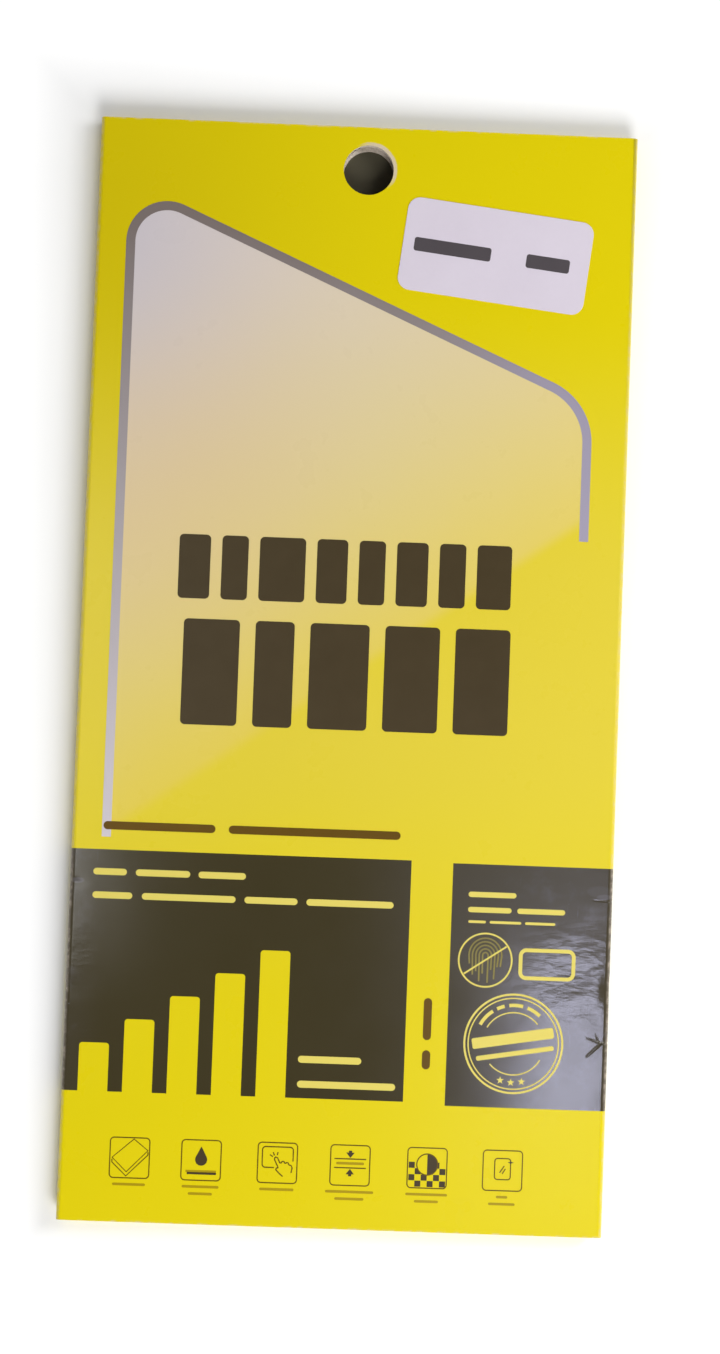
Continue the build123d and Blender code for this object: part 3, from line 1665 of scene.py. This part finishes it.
@dataclass
class RightPanel:
    """Print on the right dark panel: small lines, a ring with a slash, a screen outline and a round seal.

    Attributes:
        lines: the two small lines.
        line_height: how high their bars are.
        fine_line: the tiny line under them.
        fine_height: how high its bars are.
        ring_middle: middle of the slashed ring.
        ring_radius: radius of the slashed ring.
        ring_line: how wide the ring and its slash are.
        slash_turn: how steep its slash is, in degrees.
        slash_inset: how far inside the ring's radius the slash ends.
        print_half: half the width and height of the finger mark in it.
        ridge_count: how many ridges the finger mark has.
        ridge_line: how wide they are.
        ridge_first: how far out the innermost ridge is, in spaces between ridges.
        crown: how far over the ring's middle the arches start, and how much they are drawn up.
        legs: how long the right and the left leg are, as shares, on every other ridge in turn.
        leg_draw: how far in the right and the left leg end, as shares of the arch.
        screen: the outline of a screen.
        screen_line: how wide it is.
        screen_steps: how many runs its corners have.
        seal_middle: middle of the seal.
        seal_rings: radii of its two outer rings.
        seal_ring_lines: how wide the outermost ring is, and the other rings and arcs.
        seal_inner: radius of its inner arcs.
        seal_arcs: from which to which angle each inner arc runs, in degrees.
        seal_words: from which to which angle each word round its top runs.
        seal_word_line: radius and width of those words.
        seal_bars: the two bars across it: place from its middle, width and height.
        seal_tilt: turn of its bars in degrees.
        seal_corner: the radius of their corners.
        seal_stars: the angles of its stars.
        star_place: how far from its middle they are.
        star_radii: how far out their tips and notches are.
        film: how thick the ink is.
        faint_film: how thick the finger mark's ink is.
    """

    lines: tuple[Word, ...] = (
        *words_along(-34.2, (20.1, 27.7)),
        *words_along(-36.6, (20.1, 27.0), (27.9, 35.5)),
    )
    line_height: float = 0.85
    fine_line: tuple[Word, ...] = words_along(-38.5, (20.2, 23.0), (23.6, 28.6), (29.2, 34.0))
    fine_height: float = 0.42
    ring_middle: Point = (23.1, -44.5)
    ring_radius: float = 4.2
    ring_line: float = 0.27
    slash_turn: float = 34.0
    slash_inset: float = 0.2
    print_half: Point = (2.7, 3.6)
    ridge_count: int = 5
    ridge_line: float = 0.24
    ridge_first: float = 0.8
    crown: Point = (0.75, 1.05)
    legs: tuple[Point, Point] = ((1.0, 0.6), (0.45, 1.0))
    leg_draw: Point = (0.93, 0.96)
    screen: Path = frame_path((32.9, -44.9), width=8.4, height=4.4, corner=0.9)
    screen_line: float = 0.6
    screen_steps: int = 6
    seal_middle: Point = (28.0, -57.5)
    seal_rings: Point = (7.75, 7.15)
    seal_ring_lines: Point = (0.32, 0.2)
    seal_inner: float = 4.9
    seal_arcs: tuple[Point, ...] = ((40.0, 150.0), (222.0, 330.0))
    seal_words: tuple[Point, ...] = ((152.0, 124.0), (117.0, 105.0), (98.0, 77.0), (70.0, 48.0))
    seal_word_line: Point = (6.05, 0.55)
    seal_bars: tuple[tuple[Point, Point], ...] = (((-0.1, 0.85), (13.0, 1.7)), ((0.3, -1.5), (12.4, 0.75)))
    seal_tilt: float = 9.5
    seal_corner: float = 0.3
    seal_stars: tuple[float, ...] = (-108.0, -92.0, -76.0)
    star_place: float = 6.1
    star_radii: Point = (0.62, 0.27)
    film: float = 0.02
    faint_film: float = 0.012

    def _slash(self) -> Path:
        """Draws the slash, which ends inside the ring.

        Returns:
            Its line.
        """
        reach = self.ring_radius - self.slash_inset
        ends = [around(self.ring_middle, reach, self.slash_turn + half) for half in (180.0, 0.0)]
        return Path(tuple(ends), False)

    def _ridges(self) -> list[Path]:
        """Draws the finger mark as arches whose legs end on an oval.

        Returns:
            Its ridges, from the inside out.
        """
        x, y = self.ring_middle
        half_width, half_height = self.print_half
        lift, draw = self.crown
        ridges = []
        for step in range(self.ridge_count):
            width = half_width * (step + self.ridge_first) / self.ridge_count
            foot = half_height * math.sqrt(1.0 - (width / half_width) ** 2)
            crown = [(u, y + lift + (v - y) * draw) for u, v in arc((x, y), width, 0.0, 180.0, steps=18)]
            right_leg, left_leg = self.legs[step % 2]
            right = (x + width * self.leg_draw[0], y - foot * right_leg)
            left = (x - width * self.leg_draw[1], y - foot * left_leg)
            ridges.append(Path((right, *crown, left), False))
        return ridges

    def _seal(self, press: InkPress) -> None:
        """Prints the seal.

        Args:
            press: prints the pieces, and holds the inks.
        """
        pale, middle = press.inks.pale, self.seal_middle
        outer, inner = (ring(middle, radius) for radius in self.seal_rings)
        press.lines("seal_outer_ring", [outer], pale, self.seal_ring_lines[0], self.film)
        arcs = [Path(arc(middle, self.seal_inner, *ends, steps=30), False) for ends in self.seal_arcs]
        press.lines("seal_inner_rings", [inner, *arcs], pale, self.seal_ring_lines[1], self.film)
        radius, width = self.seal_word_line
        words = [Path(arc(middle, radius, *ends, steps=12), False) for ends in self.seal_words]
        press.lines("seal_words", words, pale, width, self.film)
        bars = [Block(middle[0] + x, middle[1] + y, *size, self.seal_tilt) for (x, y), size in self.seal_bars]
        press.blocks("seal_bars", bars, pale, self.seal_corner, self.film)
        places = [around(middle, self.star_place, turn) for turn in self.seal_stars]
        stars = [star(place, *self.star_radii, tips=5) for place in places]
        press.shapes("seal_stars", stars, pale, self.film)

    def build(self, press: InkPress) -> None:
        """Prints the panel.

        Args:
            press: prints the pieces, and holds the inks.
        """
        pale = press.inks.pale
        press.words("right_panel_lines", self.lines, pale, self.line_height, self.film)
        press.words("right_panel_fine_line", self.fine_line, pale, self.fine_height, self.film)
        slashed = [ring(self.ring_middle, self.ring_radius), self._slash()]
        press.lines("slashed_ring", slashed, pale, self.ring_line, self.film)
        press.lines("finger_mark", self._ridges(), press.inks.dull, self.ridge_line, self.faint_film)
        press.lines("screen_outline", [self.screen], pale, self.screen_line, self.film, self.screen_steps)
        self._seal(press)


@dataclass
class IconRow:
    """The row of six framed icons at the foot of the front, with their captions.

    Attributes:
        middles: the icons' middles along X.
        level: the icons' middle along Y.
        frame_size: width and height of a frame.
        corner: radius of a frame's corners.
        corner_steps: how many runs a rounded corner has.
        line: width of the drawn lines.
        drop: height over the icon's middle, radius and tip of the drop.
        bar: place and size of the dark half of the bar under the drop.
        bar_shade: the same for its lighter half.
        disc: height over the icon's middle, and radius, of the half-dark disc.
        check_rows: how many rows of checks there are.
        check_columns: how many checks fit across a frame.
        check_fill: how much of its square a check fills.
        block_corner: the radius of the corners of checks and bars.
        captions: half the width of each icon's first and second caption line; nought leaves a line out.
        caption_drop: how far under the icon's middle each caption line is.
        caption_height: how high the captions are.
        low_film: how thick the ink of checks and bars is.
        film: how thick the ink of lines and captions is.
        top_film: how thick the ink of the dark figures is.
        ring_film: how thick the ink of the disc's ring is.
    """

    middles: tuple[float, ...] = (-31.75, -20.5, -8.5, 2.95, 15.1, 27.0)
    level: float = -77.45
    frame_size: Point = (6.2, 6.3)
    corner: float = 0.6
    corner_steps: int = 5
    line: float = 0.18
    drop: Triple = (0.1, 0.95, 2.05)
    bar: tuple[Point, Point] = ((0.12, -2.06), (4.6, 0.36))
    bar_shade: tuple[Point, Point] = ((0.0, -1.74), (4.8, 0.36))
    disc: Point = (0.55, 1.65)
    check_rows: int = 4
    check_columns: int = 6
    check_fill: float = 0.97
    block_corner: float = 0.02
    captions: tuple[Point, ...] = ((2.6, 0.0), (2.9, 1.9), (2.7, 0.0), (3.8, 2.3), (3.3, 1.9), (0.9, 2.1))
    caption_drop: Point = (4.15, 5.25)
    caption_height: float = 0.4
    low_film: float = 0.012
    film: float = 0.018
    top_film: float = 0.026
    ring_film: float = 0.03

    def _at(self, icon: int, *points: Point) -> tuple[Point, ...]:
        """Returns points that are given from an icon's middle, on the front."""
        return tuple((self.middles[icon] + across, self.level + up) for across, up in points)

    def _pane_lines(self) -> list[Path]:
        """Draws the first icon: a tilted pane of glass and its lower edge.

        Returns:
            Its lines.
        """
        pane = ((0.6, 2.95), (2.85, 1.2), (-0.45, -2.2), (-2.75, 0.0))
        edge = ((-2.75, -0.25), (-2.75, -0.75), (-0.5, -2.85), (2.85, 0.5), (2.85, 0.95))
        return [Path(self._at(0, *pane)), Path(self._at(0, *edge), False)]

    def _touch_lines(self) -> list[Path]:
        """Draws the third icon: a screen, a pointing hand and three rays at its finger.

        Returns:
            Its lines.
        """
        screen = ((2.45, 0.3), (2.45, 2.5), (-2.4, 2.5), (-2.4, -0.75), (-0.5, -0.75))
        thumb = ((0.9, -2.1), (0.3, -1.6), (-0.25, -1.05), (-0.05, -0.75), (0.25, -0.9))
        finger = ((-0.5, 0.55), (-0.35, 0.95), (0.0, 0.8), (0.45, -0.15))
        knuckles = ((0.75, 0.25), (1.05, 0.25), (1.2, -0.15), (1.45, 0.1), (1.7, 0.05), (1.85, -0.3))
        wrist = ((2.15, -0.3), (2.35, -0.7), (2.2, -1.5))
        hand = (*thumb, *finger, *knuckles, *wrist)
        rays = (((-0.75, 0.95), (-1.2, 1.25)), ((-0.5, 1.15), (-0.7, 1.65)), ((-0.05, 1.2), (0.05, 1.7)))
        lines = [
            Path(self._at(2, *screen), False, (0.0, 0.5, 0.5, 0.5, 0.0)),
            Path(self._at(2, *hand), False, (0.15,) * len(hand)),
        ]
        return lines + [Path(self._at(2, *ray), False) for ray in rays]

    def _frames(self) -> list[Path]:
        """Draws the frames and the rounded outlines in them.

        Returns:
            The lines.
        """
        frames = [frame_path((x, self.level), *self.frame_size, self.corner) for x in self.middles]
        phone = frame_path(self._at(5, (0.0, 0.25))[0], width=2.5, height=3.3, corner=0.45)
        return [*frames, phone, *self._touch_lines()]

    def _outlines(self) -> list[Path]:
        """Draws the lines that have plain corners.

        Returns:
            The lines.
        """
        lines = self._pane_lines()
        for up in (1.0, -0.4):
            lines.append(Path(self._at(3, (-2.5, up), (2.5, up)), False))
        for ray in (((-0.45, -0.35), (0.25, 0.75)), ((-0.05, -0.5), (0.45, 0.3))):
            lines.append(Path(self._at(5, *ray), False))
        return lines

    def _half_disc(self, start: float) -> Path:
        """Returns half of the disc, from an angle on."""
        middle = self._at(4, (0.0, self.disc[0]))[0]
        return Path(arc(middle, self.disc[1], start, start + 180.0, steps=24))

    def _figures(self) -> list[Path]:
        """Draws the dark figures: a drop, two arrow heads that face each other, half a disc and a spark.

        Returns:
            Their outlines.
        """
        up, radius, tip = self.drop
        x, y = self._at(1, (0.0, up))[0]
        tangent = math.degrees(math.acos(radius / tip))
        drop = (*arc((x, y), radius, 90.0 + tangent, 450.0 - tangent, steps=20), (x, y + tip))
        heads = []
        for base, point, stem in ((2.0, 1.15, 2.3), (-1.4, -0.55, -1.7)):
            left = ((-0.65, base), (-0.25, base), (-0.25, stem))
            right = tuple((-across, height) for across, height in reversed(left))
            heads.append(Path(self._at(3, *left, *right, (0.0, point))))
        spark = star(self._at(5, (1.25, 1.3))[0], outer=0.5, inner=0.16, tips=4)
        return [Path(drop), *heads, self._half_disc(-90.0), spark]

    def _checks(self) -> list[Block]:
        """Sets out the checks under the disc.

        Returns:
            The dark ones.
        """
        width, height = self.frame_size
        side = (width - 2 * self.line) / self.check_columns
        filled = side * self.check_fill
        checks = []
        for row in range(self.check_rows):
            for column in range((row + 1) % 2, self.check_columns, 2):
                across = side * (column + 0.5 - self.check_columns / 2)
                up = side * (row + 0.5) - height / 2 + self.line
                checks.append(Block(*self._at(4, (across, up))[0], filled, filled))
        return checks

    def _caption_words(self) -> list[Word]:
        """Sets out the captions under the icons, and the word between the arrow heads.

        Returns:
            The words.
        """
        words: list[Word] = []
        for x, halves in zip(self.middles, self.captions):
            for half, drop in zip(halves, self.caption_drop):
                if half:
                    words += words_along(self.level - drop, (x - half, x + half))
        return [*words, Word(*self._at(3, (-2.2, 0.3), (2.2, 0.3)))]

    def build(self, press: InkPress) -> None:
        """Prints the icons.

        Args:
            press: prints the pieces, and holds the inks.
        """
        inks = press.inks
        press.lines("icon_frames", self._frames(), inks.line, self.line, self.film, self.corner_steps)
        press.lines("icon_lines", self._outlines(), inks.line, self.line, self.film)
        bar, shade = (Block(*self._at(1, place)[0], *size) for place, size in (self.bar, self.bar_shade))
        press.blocks("icon_blocks", [bar, *self._checks()], inks.dark, self.block_corner, self.low_film)
        press.blocks("icon_bar_shade", [shade], inks.caption, self.block_corner, self.low_film)
        press.shapes("icon_clear_half", [self._half_disc(90.0)], inks.ground, self.film)
        press.shapes("icon_figures", self._figures(), inks.dark, self.top_film)
        disc = ring(self._at(4, (0.0, self.disc[0]))[0], self.disc[1], steps=40)
        press.lines("icon_disc_ring", [disc], inks.line, self.line, self.ring_film)
        press.words("icon_captions", self._caption_words(), inks.caption, self.caption_height, self.film)


@dataclass
class PaperLabel:
    """The paper label: its CAD node in its own finish, with two dark bars printed on it.

    Attributes:
        middle: the label's middle.
        turn: how far it is out of square, in degrees.
        paper: its thickness.
        bars: the bars, from the label's middle along its own sides: place along it, and width.
        bar_height: how high they are.
        corner: the radius of their corners.
        film: how thick the ink is.
    """

    middle: Point = (20.8, 67.6)
    turn: float = -6.5
    paper: float = 0.1
    bars: tuple[Point, ...] = ((-7.0, 12.4), (8.4, 7.0))
    bar_height: float = 2.2
    corner: float = 0.4
    film: float = 0.012

    def build(self, press: InkPress, paper: Finish) -> None:
        """Gives the label its paper and prints its bars.

        Args:
            press: prints the pieces, and holds the inks.
            paper: the label's own finish.
        """
        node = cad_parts["label"]
        node.data.materials.clear()
        node.data.materials.append(paper)
        blocks = [
            Block(*around(self.middle, along, self.turn), width, self.bar_height, self.turn)
            for along, width in self.bars
        ]
        bars = press.blocks("label_bars", blocks, press.inks.label, self.corner, self.film, self.paper)


@dataclass(frozen=True)
class SoftLamp:
    """A soft studio lamp.

    Attributes:
        name: its name.
        place: where it hangs, in metres.
        aim: what it points at, in metres.
        sides: its width and height, in metres.
        power: its power in watts.
        colour: its colour.
        sheen_only: whether it shows only as a reflection in the film.
    """

    name: str
    place: Triple
    aim: Triple
    sides: Point
    power: float
    colour: Triple = WHITE[:3]
    sheen_only: bool = False

    def build(self) -> None:
        """Hangs the lamp."""
        light = bpy.data.lights.new(self.name, "AREA")
        light.shape = "RECTANGLE"
        light.size, light.size_y = self.sides
        light.energy = self.power
        light.color = self.colour
        lamp = bpy.data.objects.new(self.name, light)
        lamp.location = self.place
        lamp.rotation_euler = (Vector(self.aim) - Vector(self.place)).to_track_quat("-Z", "Y").to_euler()
        lamp.visible_camera = False
        lamp.visible_diffuse = not self.sheen_only
        bpy.context.scene.collection.objects.link(lamp)


def sheen_lamp(name: str, over: Point, sides: Point, power: float, colour: Triple) -> SoftLamp:
    """Returns a lamp that hangs straight over a point, in metres, and shows only as a sheen."""
    return SoftLamp(name, (*over, 0.6), (*over, 0.0), sides, power, colour, True)


WINDOW_LIGHT = (0.73, 0.75, 1.0)


@dataclass
class Studio:
    """A white floor, soft lamps, a pale sky that is dimmer overhead, and the camera over the pack.

    Attributes:
        floor_half: half the floor's width, in metres.
        floor_white: the floor's colour.
        floor_shade: the floor's colour in faint clouds.
        floor_cloud: width of those clouds, in millimetres.
        floor_glow: how much brighter the camera sees the floor away from the pack.
        glow_x: from where on along X it does so, and does so wholly, in millimetres.
        glow_y: the same along Y.
        floor_far: from where on, and from where on wholly, the camera sees plain white, in millimetres.
        table: the floor's colour under the pack, where only the hang hole shows it.
        table_x: where along X that colour starts to fade and is gone, in millimetres.
        table_y: the same along Y.
        sky: strength near the horizon and overhead.
        sky_band: where the sky dims, as the upward part of its direction.
        lamps: the lamps.
        image: the picture's width and height, in pixels.
        focal: the camera's focal length in the picture's pixels.
        sensor: the camera's sensor, in millimetres.
        near: the nearest that the camera sees, in metres.
        eye: the camera's place, in millimetres.
        gaze: the camera's turns about X, Y and Z, in degrees.
    """

    floor_half: float = 3.0
    floor_white: Colour = ink(250, 250, 250)
    floor_shade: Colour = ink(246, 246, 246)
    floor_cloud: float = 40.0
    floor_glow: Colour = (0.3, 0.3, 0.3, 1.0)
    glow_x: Point = (40.0, 60.0)
    glow_y: Point = (84.0, 104.0)
    floor_far: Point = (170.0, 330.0)
    table: Colour = ink(86, 82, 68)
    table_x: Point = (30.0, 40.0)
    table_y: Point = (85.0, 86.5)
    sky: Point = (1.0, 0.12)
    sky_band: Point = (0.15, 0.65)
    lamps: tuple[SoftLamp, ...] = (
        SoftLamp("key_lamp", (0.15, -0.45, 0.45), (0.0, 0.0, 0.0), (0.3, 0.3), 3.15),
        SoftLamp("side_lamp", (0.25, 0.1, 0.25), (0.0, 0.0, 0.0), (0.15, 0.15), 0.52),
        sheen_lamp("window_lamp", (0.11, -0.16), (0.04, 0.1), 0.345, WINDOW_LIGHT),
        sheen_lamp("glow_lamp", (0.095, -0.065), (0.12, 0.1), 0.064, WINDOW_LIGHT),
        sheen_lamp("strip_lamp", (-0.137, 0.012), (0.063, 0.245), 0.3, WHITE[:3]),
    )
    image: tuple[int, int] = (720, 1354)
    focal: float = 2000.0
    sensor: float = 36.0
    near: float = 0.01
    eye: Triple = (-2.66, -10.21, 320.77)
    gaze: Triple = (1.726, -0.84, 2.15)

    def _paper(self) -> Finish:
        """Builds the floor's finish, which the camera and the film see as plain white far from the pack.

        Returns:
            The finished material.
        """
        shader = Shader("floor_paper")
        at = shader.place()
        under = (1 - shader.rise(abs(at.x), *self.table_x)) * (1 - shader.rise(abs(at.y), *self.table_y))
        white = shader.mix(shader.noise(at.vector, self.floor_cloud), self.floor_white, self.floor_shade)
        clear = shader.rise(abs(at.x), *self.glow_x).most(shader.rise(abs(at.y), *self.glow_y))
        seen = shader.node("ShaderNodeLightPath", output="Is Camera Ray")
        for other in ("Is Glossy Ray", "Is Transmission Ray"):
            seen = seen.most(shader.node("ShaderNodeLightPath", output=other))
        far = seen * shader.rise(at.away((0.0, 0.0)), *self.floor_far)
        return shader.finish(
            base_color=shader.mix(far, shader.mix(under, white, self.table), BLACK),
            roughness=0.9,
            specular_ior_level=0.0,
            emission_color=shader.mix(far, shader.mix(seen * clear, BLACK, self.floor_glow), WHITE),
            emission_strength=1.0,
        )

    def _floor(self) -> None:
        """Lays the floor."""
        half = self.floor_half
        corners = [(-half, -half, 0), (half, -half, 0), (half, half, 0), (-half, half, 0)]
        mesh = bpy.data.meshes.new("floor")
        mesh.from_pydata(corners, [], [(0, 1, 2, 3)])
        mesh.materials.append(self._paper())
        floor = bpy.data.objects.new("floor", mesh)
        bpy.context.scene.collection.objects.link(floor)

    def _sky(self) -> None:
        """Sets the sky."""
        world = bpy.data.worlds.new("studio_sky")
        world.use_nodes = True
        graph = Graph(world.node_tree)
        direction = graph.node("ShaderNodeTexCoord", output="Generated")
        up = graph.node("ShaderNodeSeparateXYZ", None, {0: direction}, 2)
        band = {"Value": up, "From Min": self.sky_band[0], "From Max": self.sky_band[1]}
        band |= {"To Min": self.sky[0], "To Max": self.sky[1]}
        strength = graph.node("ShaderNodeMapRange", {"interpolation_type": "SMOOTHSTEP"}, band)
        background = world.node_tree.nodes["Background"]
        graph.feed(background.inputs["Strength"], strength)
        graph.feed(background.inputs["Color"], WHITE)
        bpy.context.scene.world = world

    def _camera(self) -> None:
        """Sets the camera where the photograph was taken from."""
        data = bpy.data.cameras.new("camera")
        data.sensor_width = self.sensor
        data.lens = self.focal / max(self.image) * self.sensor
        data.clip_start = self.near
        camera = bpy.data.objects.new("camera", data)
        camera.location = [value * MM for value in self.eye]
        camera.rotation_euler = [math.radians(value) for value in self.gaze]
        bpy.context.scene.collection.objects.link(camera)
        bpy.context.scene.camera = camera

    def build(self) -> None:
        """Sets up the studio."""
        bpy.context.scene.view_settings.view_transform = "Standard"
        self._floor()
        self._sky()
        self._camera()
        for lamp in self.lamps:
            lamp.build()


def main() -> None:
    """Builds the studio and the pack."""
    logging.basicConfig(level=logging.INFO, format="%(name)s: %(message)s")
    Studio().build()
    ground = GroundPrint()
    inks = Inks(
        ground=ground.build(),
        pane=PanePrint(ground).build(),
        stripe=StripePrint().build(),
        dark=SolidInk("dark_ink", ink(66, 55, 34), ink(78, 66, 44)).build(),
        brown=SolidInk("brown_ink", ink(94, 68, 6), ink(108, 80, 8)).build(),
        line=SolidInk("icon_line_ink", ink(96, 75, 6), ink(112, 90, 8)).build(),
        caption=SolidInk("caption_ink", ink(164, 140, 8), ink(182, 158, 8)).build(),
        pale=SolidInk("pale_yellow_ink", ink(228, 212, 104), ink(220, 203, 92)).build(),
        dull=SolidInk("dull_yellow_ink", ink(150, 138, 60), ink(92, 84, 46)).build(),
        label=SolidInk("label_ink", ink(76, 70, 74), ink(88, 82, 86), 0.5).build(),
    )
    Carton().build(inks.ground, PanelPrint().build(), RawBoard().build())
    press = InkPress(inks)
    for layout in (PanePicture(), Headline(), LeftPanel(), RightPanel(), IconRow()):
        layout.build(press)
    PaperLabel().build(press, LabelPaper().build())


if __name__ == "__main__":
    main()
